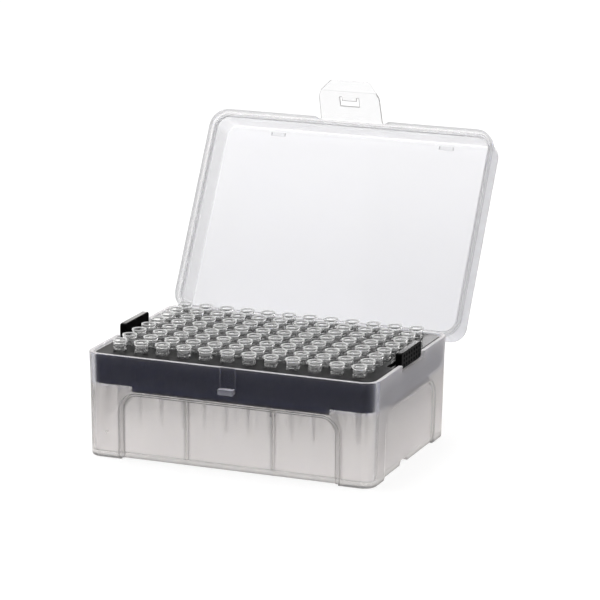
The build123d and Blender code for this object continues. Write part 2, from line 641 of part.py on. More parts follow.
def lid_pips():
    """Two low bars on top of the lid, near its front edge."""
    pips = Part()
    pip_y = -(LID_WIDTH / 2 - PIP_FROM_FRONT)
    for x in (-PIP_X, PIP_X):
        pips += block(x - PIP_LENGTH / 2, x + PIP_LENGTH / 2, pip_y - PIP_WIDTH / 2, pip_y + PIP_WIDTH / 2,
                      LID_TOP - LID_CEILING / 2, LID_TOP + PIP_HEIGHT)
    return pips


def make_closed_lid():
    """Lid in its closed place."""
    return lid_shell() - lug_notches() - tab_notch() + lid_pips() + hinge_arms()


def make_lid():
    """Lid in its open place, leaning back on the stops."""
    return make_closed_lid().rotate(LID_AXIS, -LID_OPEN_DEG)


# ---- latch tab ----
def tab_outline():
    """Flat outline of the tab, hinge line on the X axis, tip towards -Y."""
    right = [(TAB_ROOT_HALF, 0), (TAB_SHOULDER_HALF, -TAB_SHOULDER), (TAB_BEND_HALF, -TAB_BEND)]
    right += [(TAB_TIP_HALF, -TAB_LENGTH)]
    left = [(-x, y) for x, y in reversed(right)]
    outline = make_face(Polyline(*right, *left, close=True))
    outline = fillet(outline.vertices().group_by(Axis.Y)[0], TAB_TIP_ROUND)
    shoulders = outline.vertices().filter_by_position(Axis.Y, -TAB_SHOULDER - EPS / 2, -TAB_SHOULDER + EPS / 2)
    return fillet(shoulders, TAB_SHOULDER_ROUND)


def tab_slot():
    """The slot that drops over the catch, with a tongue left standing in its far half."""
    half = CATCH_WIDTH / 2 + SLOT_SIDE_CLEARANCE
    slot = block(-half, half, -SLOT_END, -SLOT_START, -TAB_THICKNESS, TAB_THICKNESS)
    half = CATCH_WIDTH / 2
    return slot - block(-half, half, -SLOT_END, -TONGUE_END, -TAB_THICKNESS, TAB_THICKNESS)


def make_latched_tab():
    """Tab in its latched place, hanging down the front wall with its tip bent outwards."""
    plate = extrude(tab_outline(), amount=TAB_THICKNESS / 2, both=True)
    reach = 2 * TAB_LENGTH
    tip_zone = block(-reach, reach, -reach, -TAB_BEND, -reach, reach)
    tip = plate & tip_zone
    plate -= tip_zone
    plate -= tab_slot()
    bend_axis = Axis((0, -TAB_BEND, 0), (1, 0, 0))
    tip = tip.rotate(bend_axis, -TAB_TIP_BEND_DEG)
    bend = rod(-TAB_BEND, 0, TAB_THICKNESS / 2, -TAB_BEND_HALF, TAB_BEND_HALF)
    root = rod(0, 0, TAB_THICKNESS / 2, -TAB_ROOT_HALF, TAB_ROOT_HALF)
    flat = plate + tip + bend + root
    return Pos(0, TAB_Y, TAB_Z) * Rot(90, 0, 0) * flat


def make_tab():
    """Tab as it stands on the open lid."""
    return make_latched_tab().rotate(TAB_AXIS, -TAB_REST_DEG).rotate(LID_AXIS, -LID_OPEN_DEG)


# ---- write every node ----
def save(name, shape):
    export_step(shape, "parts/" + name + ".step")
    print(name, len(shape.solids()), "solids", round(shape.volume, 1), "mm3")


os.makedirs("parts", exist_ok=True)
save("base", make_base())
save("rack", make_rack())
save("lift_clip_right", make_clip(1))
save("lift_clip_left", make_clip(-1))
save("lid", make_lid())
save("latch_tab", make_tab())
tip = make_tip()
for number, places in enumerate(tip_places(), start=1):
    column_of_tips = Compound(children=[Pos(x, y, 0) * tip for x, y in places])
    save(f"tips_column_{number:02d}", column_of_tips)
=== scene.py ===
# %% [markdown]
# A box of pipette tips, dressed
# ==============================
# The box comes as a finished CAD model: a base, a black rack, two lift clips, a lid, a latch
# tab and twelve columns of tips. This lesson loads that model as a fixed frame, gives every
# part the finish of the real plastic, and makes the tips again as smooth clear surfaces.
# Everything is in metres, with +X along the long side, +Y to the hinge and +Z up.

# %% Load the frame
import json
import math

import bpy
import numpy as np
from mathutils import Matrix, Vector


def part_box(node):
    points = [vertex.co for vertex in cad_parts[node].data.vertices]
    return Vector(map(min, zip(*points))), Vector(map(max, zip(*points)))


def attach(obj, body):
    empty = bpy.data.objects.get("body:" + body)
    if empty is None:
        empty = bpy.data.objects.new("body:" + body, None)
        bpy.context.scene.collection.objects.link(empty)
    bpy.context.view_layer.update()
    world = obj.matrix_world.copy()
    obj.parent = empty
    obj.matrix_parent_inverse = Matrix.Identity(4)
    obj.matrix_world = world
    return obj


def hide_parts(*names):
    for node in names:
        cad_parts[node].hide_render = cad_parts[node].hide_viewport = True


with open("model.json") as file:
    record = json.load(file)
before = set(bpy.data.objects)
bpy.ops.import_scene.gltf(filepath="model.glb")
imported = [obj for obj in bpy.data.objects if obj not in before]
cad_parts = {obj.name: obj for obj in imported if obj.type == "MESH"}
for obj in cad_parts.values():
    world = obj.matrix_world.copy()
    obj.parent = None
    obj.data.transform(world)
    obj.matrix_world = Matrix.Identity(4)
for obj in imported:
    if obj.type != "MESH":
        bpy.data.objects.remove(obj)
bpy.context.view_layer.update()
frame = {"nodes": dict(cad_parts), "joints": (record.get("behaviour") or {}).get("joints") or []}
MM = 0.001
scene = bpy.context.scene

# %% [markdown]
# Shader maths as plain Python
# ----------------------------
# A finish is a small network of nodes. Building it node by node hides the idea behind it, so
# two helpers come first. `Wire` holds one output socket and turns `+`, `-`, `*`, `<`, `>` and
# `abs` into Math nodes. `Finish` holds one material or world, and its `node` method adds any
# other node.

# %% One socket of a material
class Wire:
    """One output socket of a material, which can be added, scaled and compared like a number."""

    def __init__(self, finish, socket):
        self.finish = finish
        self.socket = socket

    def maths(self, operation, *others):
        """A Math node that works on this wire and the other values."""
        return self.finish.maths(operation, self, *others)

    def __add__(self, other):
        return self.maths("ADD", other)

    def __sub__(self, other):
        return self.maths("SUBTRACT", other)

    def __rsub__(self, other):
        return self.finish.maths("SUBTRACT", other, self)

    def __mul__(self, other):
        return self.maths("MULTIPLY", other)

    def __lt__(self, other):
        return self.maths("LESS_THAN", other)

    def __gt__(self, other):
        return self.maths("GREATER_THAN", other)

    def __abs__(self):
        return self.maths("ABSOLUTE")

    def between(self, low, high):
        """1 where the value lies between low and high, and 0 elsewhere."""
        return (self > low) * (self < high)

    __radd__ = __add__
    __rmul__ = __mul__


# %% One material
class Finish:
    """A network of nodes for a material or a world, read from the object's own coordinates."""

    def __init__(self, owner):
        self.owner = owner
        owner.use_nodes = True
        self.tree = owner.node_tree
        self.tree.nodes.clear()
        self.place = self.coordinates("Object")

    def node(self, kind, settings=None, inputs=None, output=0):
        """Adds a node, sets its settings, then its sockets, and gives back one output."""
        made = self.tree.nodes.new(kind)
        for key, value in (settings or {}).items():
            setattr(made, key, value)
        for key, value in (inputs or {}).items():
            if isinstance(value, Wire):
                self.tree.links.new(value.socket, made.inputs[key])
            else:
                made.inputs[key].default_value = value
        return None if output is None else Wire(self, made.outputs[output])

    def coordinates(self, kind):
        """Object is the place on the piece, and Normal is the way its surface faces."""
        return self.node("ShaderNodeTexCoord", output=kind)

    def maths(self, operation, *values):
        """A Math node that works on the values, which are wires or numbers."""
        return self.node("ShaderNodeMath", {"operation": operation}, dict(enumerate(values)))

    def vector(self, operation, first, second, output="Vector"):
        """A Vector Math node on two vectors."""
        settings = {"operation": operation}
        return self.node("ShaderNodeVectorMath", settings, {0: first, 1: second}, output)

    def dot(self, first, second):
        """The dot product of two vectors."""
        return self.vector("DOT_PRODUCT", first, second, output="Value")

    def part(self, vector, axis):
        """One of the three parts of a vector: X, Y or Z."""
        return self.node("ShaderNodeSeparateXYZ", inputs={0: vector}, output=axis)

    def rise(self, value, start, end, low=0.0, high=1.0):
        """Goes smoothly from low to high while value goes from start to end."""
        return self.node("ShaderNodeMapRange", {"interpolation_type": "SMOOTHSTEP"}, {
            "Value": value, "From Min": start, "From Max": end, "To Min": low, "To Max": high})

    def noise(self, size, detail):
        """Noise between 0 and 1 whose features are about size metres across."""
        scaled = {"Vector": self.place, "Scale": (1 / size, 1 / size, 1 / size)}
        spread = self.node("ShaderNodeMapping", inputs=scaled)
        inputs = {"Vector": spread, "Scale": 1.0, "Detail": detail}
        return self.node("ShaderNodeTexNoise", inputs=inputs)

    def bump(self, height, depth):
        """A surface that rises by depth metres where the height is 1."""
        inputs = {"Height": height, "Distance": depth, "Strength": 1.0}
        return self.node("ShaderNodeBump", inputs=inputs)

    def ray(self, kind):
        """1 for rays of that kind, such as Camera, and 0 for the rest."""
        return self.node("ShaderNodeLightPath", output=f"Is {kind} Ray")

    def matt(self, colour):
        """A matt surface of one colour."""
        return self.node("ShaderNodeBsdfDiffuse", inputs={"Color": (*colour, 1.0)})

    def plain(self, grey):
        """A matt surface of one grey."""
        return self.matt((grey, grey, grey))

    def mix(self, share, first, second):
        """The first shader, with the given share of the second."""
        return self.node("ShaderNodeMixShader", inputs={0: share, 1: first, 2: second})

    def surface(self, shader, kind="ShaderNodeOutputMaterial"):
        """Ends the network: shader becomes what the material or the world shows."""
        self.node(kind, inputs={"Surface": shader}, output=None)
        print(self.owner.name, "is made of", len(self.tree.nodes), "nodes")
        return self.owner


def blend(share, low, high):
    """From low where share is 0 to high where it is 1, for wires and numbers."""
    return share * (high - low) + low


print("helpers ready")

# %% [markdown]
# Camera
# ------
# The box is seen from the front right, a little from above, through a long lens, as a
# catalogue shot is taken. A long lens keeps the long edges of the box nearly parallel. The
# camera is given by where it stands and by three turns: to the side, down, and a slight roll.

# %% Camera
CAMERA_PLACE = Vector((0.47081, -1.15955, 0.36763))
CAMERA_SIDE_DEG = 21.558
CAMERA_DOWN_DEG = 13.868
CAMERA_ROLL_DEG = 0.5095
CAMERA_LENS = 198.97
SENSOR_WIDTH = 36.0

lens = bpy.data.cameras.new("camera")
lens.lens = CAMERA_LENS
lens.sensor_width = SENSOR_WIDTH
camera = bpy.data.objects.new("camera", lens)
turn = Matrix.Rotation(math.radians(CAMERA_SIDE_DEG), 4, "Z")
turn = turn @ Matrix.Rotation(math.radians(90 - CAMERA_DOWN_DEG), 4, "X")
turn = turn @ Matrix.Rotation(math.radians(CAMERA_ROLL_DEG), 4, "Z")
camera.matrix_world = Matrix.Translation(CAMERA_PLACE) @ turn
scene.collection.objects.link(camera)
scene.camera = camera
scene.view_settings.view_transform = "Standard"
print("camera distance", round(CAMERA_PLACE.length, 3), "m")

# %% [markdown]
# Floor and light
# ---------------
# The box stands on a white sweep in very soft light. Clear and frosted plastic show whatever
# stands round them, so the room itself is the lamp: an even white world. One large lamp from
# the upper left adds a gentle direction. What the camera sees of the floor is lifted to
# white, and the shade under the box stays.

# %% Floor
FLOOR_HALF = 6.0
FLOOR_GREY = 0.24
FLOOR_LIFT = 0.83
FLOOR_START = (-0.12, -0.05)
FLOOR_FAR = (0.20, 0.60, 0.68, 0.90)
FLOOR_UNDER = 0.65
FLOOR_UNDER_Y = (0.10, 0.05)
FLOOR_UNDER_X = (0.08, 0.055)
WHITE = (1.0, 1.0, 1.0, 1.0)


def floor_paint():
    """Grey paint that glows by FLOOR_LIFT for the camera, and by its own amount for plastic.

    Through plastic and mirrored in it, the glow is strongest right under the box, where
    FLOOR_UNDER is added. Behind the box it rises as FLOOR_FAR says, from 0.68 to 0.90, and
    in front of it, before FLOOR_START, the floor stays grey."""
    paint = Finish(bpy.data.materials.new("white_floor"))
    along = paint.part(paint.place, "Y")
    aside = abs(paint.part(paint.place, "X"))
    under = paint.rise(along, *FLOOR_UNDER_Y) * paint.rise(aside, *FLOOR_UNDER_X) * FLOOR_UNDER
    level = paint.rise(along, *FLOOR_FAR) + under
    plastic = paint.ray("Transmission").maths("MAXIMUM", paint.ray("Glossy"))
    lift = paint.ray("Camera") * FLOOR_LIFT + plastic * paint.rise(along, *FLOOR_START) * level
    glow = paint.node("ShaderNodeEmission", inputs={"Color": WHITE, "Strength": lift})
    both = paint.node("ShaderNodeAddShader", inputs={0: paint.plain(FLOOR_GREY), 1: glow})
    return paint.surface(both)


floor_mesh = bpy.data.meshes.new("floor")
corners = np.array([(-1, -1, 0), (1, -1, 0), (1, 1, 0), (-1, 1, 0)]) * FLOOR_HALF
floor_mesh.from_pydata(corners.tolist(), [], [(0, 1, 2, 3)])
floor_mesh.materials.append(floor_paint())
floor = bpy.data.objects.new("floor", floor_mesh)
scene.collection.objects.link(floor)
print("floor", 2 * FLOOR_HALF, "m square")

# %% World
ROOM_FRONT = 0.25
ROOM_BACK = 0.85
ROOM_TURN = (-0.9, 0.5)
BACKDROP = 0.9
BACKDROP_TURN = (0.6, 0.92)
COOL = (0.94, 0.97, 1.0, 1.0)
WARM = (1.0, 0.98, 0.96, 1.0)


def white_room():
    """A white room: ROOM_FRONT bright and cool on the camera's side, ROOM_BACK and warm behind.

    The level follows the Y part of the direction over ROOM_TURN, and rises by BACKDROP over
    BACKDROP_TURN, straight behind the box. The camera itself sees plain white."""
    room = Finish(bpy.data.worlds.new("white_room"))
    along = room.part(room.coordinates("Generated"), "Y")
    behind = room.rise(along, *BACKDROP_TURN, ROOM_BACK, ROOM_BACK + BACKDROP)
    front = room.node("ShaderNodeBackground", inputs={"Color": COOL, "Strength": ROOM_FRONT})
    rear = room.node("ShaderNodeBackground", inputs={"Color": WARM, "Strength": behind})
    white = room.node("ShaderNodeBackground", inputs={"Color": WHITE, "Strength": 1.0})
    lit = room.mix(room.rise(along, *ROOM_TURN), front, rear)
    return room.surface(room.mix(room.ray("Camera"), lit, white), "ShaderNodeOutputWorld")


scene.world = white_room()

# %% Lamp
KEY_PLACE = Vector((-0.5, 0.1, 1.3))
KEY_SIZE = 0.9
KEY_POWER = 13.0

key_lamp = bpy.data.lights.new("key_lamp", "AREA")
key_lamp.size = KEY_SIZE
key_lamp.energy = KEY_POWER
key = bpy.data.objects.new("key_lamp", key_lamp)
key.location = KEY_PLACE
key.rotation_euler = (-KEY_PLACE).to_track_quat("-Z", "Y").to_euler()
scene.collection.objects.link(key)
print("lamp of", KEY_POWER, "W,", round(KEY_PLACE.length, 2), "m from the box")

# %% [markdown]
# Frosted polypropylene
# ---------------------
# The base and the lid are natural polypropylene: nearly clear, with a milky haze in it. What
# touches the wall shows through it crisply, and what is further away melts into grey. A rough
# refracting surface on a wall of real thickness does that. The outer skin comes off polished
# steel and keeps a soft gloss, and the inner skin is duller, so the roughness changes from
# one to the other. The two are told apart by which way they face: on the inner skin the
# normal points back towards the middle of the hollow. The haze is a second shader, mixed in
# by its share: it passes light on in all directions and sends a little of it back.

# %% Clear body, haze and skins
PLASTIC_IOR = 1.49


def glass(finish, colour, roughness, normal):
    """The clear body of the plastic."""
    return finish.node("ShaderNodeBsdfPrincipled", inputs={
        "Base Color": (*colour, 1.0), "Roughness": roughness, "IOR": PLASTIC_IOR,
        "Transmission Weight": 1.0, "Normal": normal})


def milk(finish, passed, returned, back):
    """Haze in the plastic: it passes light on in all directions, and the share back returns.

    The light that passes has the colour passed; the light that returns is a shader."""
    through = finish.node("ShaderNodeBsdfTranslucent", inputs={"Color": (*passed, 1.0)})
    return finish.mix(back, through, returned)


def turned_away(finish, low=0.0, high=1.0):
    """From low where a surface faces the eye to high where it is edge on, by the square."""
    facing = finish.node("ShaderNodeLayerWeight", inputs={"Blend": 0.5}, output="Facing")
    return blend(facing * facing, low, high)


def inner_skin(finish, middle):
    """1 where the surface faces the point middle of the hollow, 0 where it faces away.

    A ray that comes from within the wall sees the normal turned round, so its answer is
    turned round too."""
    from_middle = finish.vector("SUBTRACT", finish.place, middle)
    away = finish.dot(from_middle, finish.coordinates("Normal"))
    within = finish.node("ShaderNodeNewGeometry", output="Backfacing")
    return abs((away < 0.0) - within)


print("refraction", PLASTIC_IOR)

# %% Frosted plastic
PATCH_SIZE = 9 * MM
PATCH_DETAIL = 3.0
PATCH_LOW, PATCH_HIGH = 0.8, 1.2
SKIN_GRAIN = 0.5 * MM
SKIN_DEPTH = 0.002 * MM
SMOOTH_DETAIL = 1.0
RETURN_SQUARE_ON = (0.14, 0.20, 1.0)
RETURN_SLANTED = (0.72, 0.70, 0.74)
RETURN_TILT = (0.05, 0.4)


def frosted(name, colour, tint, middle, gloss, dull, outer, edge, inner):
    """Polypropylene: rough glass that is glossier outside than inside, and a share of milk.

    Roughness is gloss on the outer skin and dull on the inner one, times soft patches from
    PATCH_LOW to PATCH_HIGH. The milk's share is outer or inner, and goes to edge as the wall
    turns edge on, where sight goes through more plastic. Seen square on, thin haze returns
    mostly blue light, and at a slant a pale grey. inner is a function that gives the inner
    skin's share of milk and how much of it returns. Gives back the finish and its shader."""
    finish = Finish(bpy.data.materials.new(name))
    inside = inner_skin(finish, middle)
    patches = blend(finish.noise(PATCH_SIZE, PATCH_DETAIL), PATCH_LOW, PATCH_HIGH)
    skin = finish.bump(finish.noise(SKIN_GRAIN, SMOOTH_DETAIL), SKIN_DEPTH)
    clear = glass(finish, colour, blend(inside, gloss, dull) * patches, skin)
    share_inner, back = inner(finish)
    tilt = turned_away(finish)
    returned = finish.mix(finish.rise(tilt, *RETURN_TILT),
                          finish.matt(RETURN_SQUARE_ON), finish.matt(RETURN_SLANTED))
    share = blend(tilt, blend(inside, outer, share_inner), edge)
    return finish, finish.mix(share, clear, milk(finish, tint, returned, back))


def paint(finish, body, greys, masks):
    """Mixes matt greys into a shader, one after another, each where its mask is 1.

    greys gives the share and the grey of each coat, and masks its place on the wall."""
    for coat, (share, grey) in greys.items():
        body = finish.mix(masks[coat] * share, body, finish.plain(grey))
    return body


print("roughness varies by", PATCH_LOW, "to", PATCH_HIGH)

# %% [markdown]
# Walls of the base
# -----------------
# Each wall of the base has an arched panel, sunk into it in two small steps, and the long
# walls have two ribs. Where the plastic is thicker, or bends sharply, it passes less light,
# and the eye sees a fine line. Refraction alone draws these lines unevenly on a wall this
# thin, so each is also painted: a formula finds it by its place on the wall, and a small
# share of matt grey is mixed in there. On the front wall the lines are painted shade, dark
# against the bright inside, and on the short walls they are painted highlights, pale.

# %% Steps, arches and ribs
STEP_LEAN = (0.1, 0.5)
STEP_LOW, STEP_HIGH = 2 * MM, 40 * MM
LONG_STEP_Y, LONG_STEP_X = 39.5 * MM, 50 * MM
SHORT_STEP_X, SHORT_STEP_Y = 57.0 * MM, 33 * MM
ARCH_CENTRE_Z = 19.2 * MM
ARCH_START = (5.3 * MM, 5.8 * MM)
ARCH_END = (8.1 * MM, 7.8 * MM)
ARCH_FADE = (1 * MM, 5 * MM)
LONG_ARCH_REACH = 37.9 * MM
SHORT_ARCH_REACH = 20.6 * MM
LONG_WALL_Y = 38.5 * MM
SHORT_WALL_X = 56.5 * MM
RIB_X = 17.85 * MM
RIB_SIDE = (1.2 * MM, 0.6 * MM)
RIB_TOP = 26.3 * MM


def from_origin(finish):
    """How far a place is from the origin along X, along Y and along Z."""
    return [abs(finish.part(finish.place, axis)) for axis in "XYZ"]


def wall_steps(finish):
    """1 on the small faces where a wall gets thinner or thicker: long walls, then short ones.

    A step's face turns along the wall, more than the wall's own face does."""
    x, y, z = from_origin(finish)
    normal = finish.coordinates("Normal")
    along_x, along_y = (abs(finish.part(normal, axis)) for axis in "XY")
    on_wall = z.between(STEP_LOW, STEP_HIGH)
    long_wall = (y > LONG_STEP_Y) * (x < LONG_STEP_X) * finish.rise(along_x, *STEP_LEAN)
    short_wall_highlight = (x > SHORT_STEP_X) * (y < SHORT_STEP_Y) * finish.rise(along_y, *STEP_LEAN)
    return long_wall * on_wall, short_wall_highlight * on_wall


def arch_step(finish, along, height, reach):
    """1 down the step round an arch whose straight top reaches as far as reach to each side.

    The arch has round corners, so the step is found by its distance from a point inside the
    corner: between about 5.5 and 8 mm of it. Along the top, where the step is fine, it fades
    out."""
    across = (along - reach).maths("MAXIMUM", 0.0)
    up = (height - ARCH_CENTRE_Z).maths("MAXIMUM", 0.0)
    away = (across * across + up * up).maths("SQRT")
    inside = finish.rise(away, *ARCH_START) * finish.rise(away, *ARCH_END)
    return inside * finish.rise(across, *ARCH_FADE)


def wall_lines(finish):
    """1 where a wall is thickest: down the step round its arch, and on the long walls' ribs.

    The long walls come first, then the short ones."""
    x, y, z = from_origin(finish)
    rib = finish.rise(abs(x - RIB_X), *RIB_SIDE) * (z < RIB_TOP)
    long_arch = arch_step(finish, x, z, LONG_ARCH_REACH)
    short_arch = arch_step(finish, y, z, SHORT_ARCH_REACH)
    return long_arch.maths("MAXIMUM", rib) * (y > LONG_WALL_Y), short_arch * (x > SHORT_WALL_X)


print("ribs at", RIB_X / MM, "mm to each side")

# %% Finish of the base
BASE_MIDDLE = (0.0, 0.0, 22 * MM)
BASE_GLOSS, BASE_DULL = 0.16, 0.30
RACK_FOOT = (30 * MM, 28 * MM)
MILK_AT_RACK, MILK_BELOW = 0.07, 0.42
COOL_AT_RACK, COOL_BELOW = 0.45, 0.06
CATCH_FRONT = (-42.1 * MM, -42.5 * MM)
CATCH_TOP = 36 * MM
CATCH_COLOUR = (0.60, 0.60, 0.70)
CATCH_SHARE = 0.6
# RIM_TOP is where a painted highlight, a share of matt white, runs along the rim's top.
RIM_TOP = (41.3 * MM, 41.48 * MM)
LOW_SHADE_Z = (3.4 * MM, 2.2 * MM)
FOOT_SHADE_Z = (1.8 * MM, 1.0 * MM)
# Share and grey of each coat painted into the base: a painted highlight on the rim's top, painted
# shade on the long walls' steps and lines, painted highlights on the short walls' steps and
# arches, and painted shade in a low band and at the edge of the foot.
BASE_GREYS = {
    "rim_highlight": (0.22, 0.96),
    "long_step_shade": (0.25, 0.22),
    "short_wall_highlight": (0.45, 1.0),
    "long_line_shade": (0.16, 0.22),
    "low_shade": (0.45, 0.66),
    "foot_shade": (0.36, 0.30),
}


def base_milk(finish):
    """The milk on the inside of the base, and its cool share, both by height.

    Where the rack slides there is little milk and much of it is cool, so that the rack
    looks navy through the wall. Below the rack there is more, and it is nearly all warm."""
    height = finish.part(finish.place, "Z")
    share = finish.rise(height, *RACK_FOOT, MILK_AT_RACK, MILK_BELOW)
    return share, finish.rise(height, *RACK_FOOT, COOL_AT_RACK, COOL_BELOW)


def base_plastic():
    """The frosted base, with its catch painted in, a painted highlight on its rim, painted shade
    or highlights on its steps and lines, and painted shade low down and at its foot.

    The low band of shade and the edge of the foot are painted only on faces that stand upright."""
    finish, body = frosted(
        "frosted_base", colour=(0.98, 0.975, 0.965), tint=(1.0, 0.965, 0.945),
        middle=BASE_MIDDLE, gloss=BASE_GLOSS, dull=BASE_DULL, outer=0.02, edge=0.95,
        inner=base_milk)
    height = finish.part(finish.place, "Z")
    upright = 1.0 - abs(finish.part(finish.coordinates("Normal"), "Z"))
    catch = finish.rise(finish.part(finish.place, "Y"), *CATCH_FRONT) * (height < CATCH_TOP)
    body = finish.mix(catch * CATCH_SHARE, body, finish.matt(CATCH_COLOUR))
    # Painted shade goes on the long walls' steps and lines, and painted highlights on the short
    # walls'.
    long_step_shade, short_step = wall_steps(finish)
    long_line_shade, short_line = wall_lines(finish)
    return finish.surface(paint(finish, body, BASE_GREYS, {
        "rim_highlight": finish.rise(height, *RIM_TOP),
        "long_step_shade": long_step_shade,
        "short_wall_highlight": short_step.maths("MAXIMUM", short_line),
        "long_line_shade": long_line_shade,
        "low_shade": finish.rise(height, *LOW_SHADE_Z) * upright,
        "foot_shade": finish.rise(height, *FOOT_SHADE_Z) * upright,
    }))


base_finish = base_plastic()

# %% [markdown]
# The lid
# -------
# The lid is thinner and glossier than the base. Its own lines run round it: a lip that laps
# the base, a ledge that rests on the rim, a fold inside the ledge and a shoulder outside it,
# then the wall, and two small pips on the top. The lines they draw are painted in: painted
# shade in grey on the lip, the ledge, the inner wall and the pips, and a painted highlight in
# white on the fold. All of them lie at fixed heights of a shut lid, but the lid stands open
# here. So the place on it is first turned shut about its hinge, and the lines are found by
# their height there. The ledge and the shoulder are also partly see-through, because two thick
# faces so close together would draw a dark, uneven line.

# %% Finish of the lid
LID_MIDDLE = (0.0, 63 * MM, 72 * MM)
LID_GLOSS, LID_DULL = 0.07, 0.12
LID_MILK = 0.23
LID_RETURN = 0.08
LIP_TOP = 39.95 * MM
LEDGE_TOP = 41.6 * MM
FOLD_TOP = 43.0 * MM
SHOULDER_LOW, SHOULDER_HIGH = 42.2 * MM, 43.2 * MM
WALL_END = (54.0 * MM, 53.0 * MM)
PIP_LOW = 55.95 * MM
PIP_X = 37 * MM
PIP_END_X = 2.75 * MM
PIP_SHARE, PIP_END_SHARE = 0.10, 0.60
LEDGE_CLEAR = 0.5
SHOULDER_CLEAR = 0.6
# Share and grey of each painted line of the lid: painted shade on the ledge, the inner wall, the
# lip and the pips, and a painted highlight on the fold.
LID_GREYS = {
    "ledge": (0.20, 0.60),
    "inner_wall_shade": (0.15, 0.74),
    "lip_shade": (0.6, 0.90),
    "fold_highlight": (0.85, 1.0),
    "pip_shade": (1.0, 0.30),
}
lid_hinge = next(joint for joint in frame["joints"] if joint["name"] == "lid_hinge")
LID_OPEN_DEG = lid_hinge["range_deg"][1]


def turned_shut(finish):
    """The place on the open lid, as it lies when the lid is turned shut about its hinge."""
    return finish.node("ShaderNodeVectorRotate", {"rotation_type": "X_AXIS"}, {
        "Vector": finish.place, "Center": lid_hinge["pos_m"],
        "Angle": math.radians(LID_OPEN_DEG)})


def lid_plastic():
    """The frosted lid, with painted shade on its lip, ledge, wall and pips, a painted highlight
    on its fold, and its ledge and shoulder partly cleared.

    The fold and the wall are painted on the inner skin, and the shoulder is cleared on the
    outer one. A pip's painted shade is darkest at its two ends."""
    finish, body = frosted(
        "frosted_lid", colour=(0.965, 0.965, 0.975), tint=(0.98, 0.98, 1.0),
        middle=LID_MIDDLE, gloss=LID_GLOSS, dull=LID_DULL, outer=0.15, edge=0.6,
        inner=lambda _: (LID_MILK, LID_RETURN))
    shut = turned_shut(finish)
    height = finish.part(shut, "Z")
    hollow = inner_skin(finish, LID_MIDDLE)
    ledge = height.between(LIP_TOP, LEDGE_TOP)
    shoulder = height.between(SHOULDER_LOW, SHOULDER_HIGH) * (1.0 - hollow)
    pip_end = abs(abs(finish.part(shut, "X")) - PIP_X) > PIP_END_X
    for share in (ledge * LEDGE_CLEAR, shoulder * SHOULDER_CLEAR):
        body = finish.mix(share, body, finish.node("ShaderNodeBsdfTransparent"))
    return finish.surface(paint(finish, body, LID_GREYS, {
        "ledge": ledge,
        "inner_wall_shade": (height > FOLD_TOP) * finish.rise(height, *WALL_END) * hollow,
        "lip_shade": height < LIP_TOP,
        "fold_highlight": height.between(LEDGE_TOP, FOLD_TOP) * hollow,
        "pip_shade": (height > PIP_LOW) * blend(pip_end, PIP_SHARE, PIP_END_SHARE),
    }))


lid_finish = lid_plastic()

# %% [markdown]
# Clear plastic
# -------------
# The latch tab and the tips are clear polypropylene with polished faces. A thin clear piece
# is seen mostly by its edges, and by a little haze where it is thick. The tab is a flat sheet
# that leans forward, so its narrow edges are the faces that don't point along its normal, and
# they get a share of grey as painted shade. A tip is thickest at its mouth, at a ring under it
# and at its fins, so the haze in it follows the height; at the mouth the haze is also a
# painted highlight.

# %% Finish of the tab
WAVE_SIZE = 1.6 * MM
WAVE_DEPTH = 0.004 * MM
CLEAR_RETURN = 0.5
TAB_TILT_DEG = 18.5
TAB_HAZE = (0.04, 0.5)
TAB_EDGE = (0.7, 0.4)
TAB_EDGE_SHARE = 0.7
TAB_EDGE_SHADE = 0.6


def clear_plastic(name, colour, roughness, haze):
    """Clear moulded polypropylene: a polished, faintly wavy surface with a little milk in it.

    haze is a function that gives the milk's share. Gives back the finish and its shader."""
    finish = Finish(bpy.data.materials.new(name))
    waves = finish.bump(finish.noise(WAVE_SIZE, SMOOTH_DETAIL), WAVE_DEPTH)
    clear = glass(finish, colour, roughness, waves)
    white_milk = milk(finish, (1.0, 1.0, 1.0), finish.plain(1.0), CLEAR_RETURN)
    return finish, finish.mix(haze(finish), clear, white_milk)


def sheet_edges(finish, tilt_deg):
    """1 on the narrow edges of a sheet that is turned by tilt_deg about X, and 0 on its faces."""
    tilt = math.radians(tilt_deg)
    across = (0.0, math.cos(tilt), math.sin(tilt))
    return finish.rise(abs(finish.dot(finish.coordinates("Normal"), across)), *TAB_EDGE)


finish, body = clear_plastic("clear_tab", (0.935, 0.935, 0.94), 0.07,
                             lambda finish: turned_away(finish, *TAB_HAZE))
# The tab's narrow edges get painted shade: a share of matt grey.
edge_shade = sheet_edges(finish, TAB_TILT_DEG) * TAB_EDGE_SHARE
tab_finish = finish.surface(finish.mix(edge_shade, body, finish.plain(TAB_EDGE_SHADE)))

# %% Finish of the tips
TIP_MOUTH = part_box("tips_column_01")[1].z / MM
TIP_HAZE = 0.05
# The share of each zone, and the heights over which it sets in, in millimetres from the mouth.
TIP_ZONES = {
    # The mouth's share is partly haze in the thick plastic and partly a painted highlight on its
    # rim.
    "mouth_haze_and_highlight": (0.90, -0.45, -0.1),
    "flange": (0.06, -1.1, -0.85),
    "fins": (0.05, -2.6, -2.75),
    "stem": (0.11, -6.0, -8.0),
}
# The ring is a band round one height: its share, that height, and where it sets in.
RING_SHARE = 0.24
RING_HEIGHT = -2.05
RING_SIDE = (0.35, 0.1)


def tip_haze(finish):
    """The milk in a tip by height: most in the thick mouth, where it also paints a highlight on
    the rim, then in the ring and the stem.
    """
    height = finish.part(finish.place, "Z") * (1 / MM) - TIP_MOUTH
    ring = finish.rise(abs(height - RING_HEIGHT), *RING_SIDE)
    haze = ring * RING_SHARE + TIP_HAZE
    for share, start, end in TIP_ZONES.values():
        haze = haze + finish.rise(height, start, end) * share
    return haze


finish, body = clear_plastic("clear_tip", (0.97, 0.975, 0.975), 0.04, tip_haze)
tip_finish = finish.surface(body)

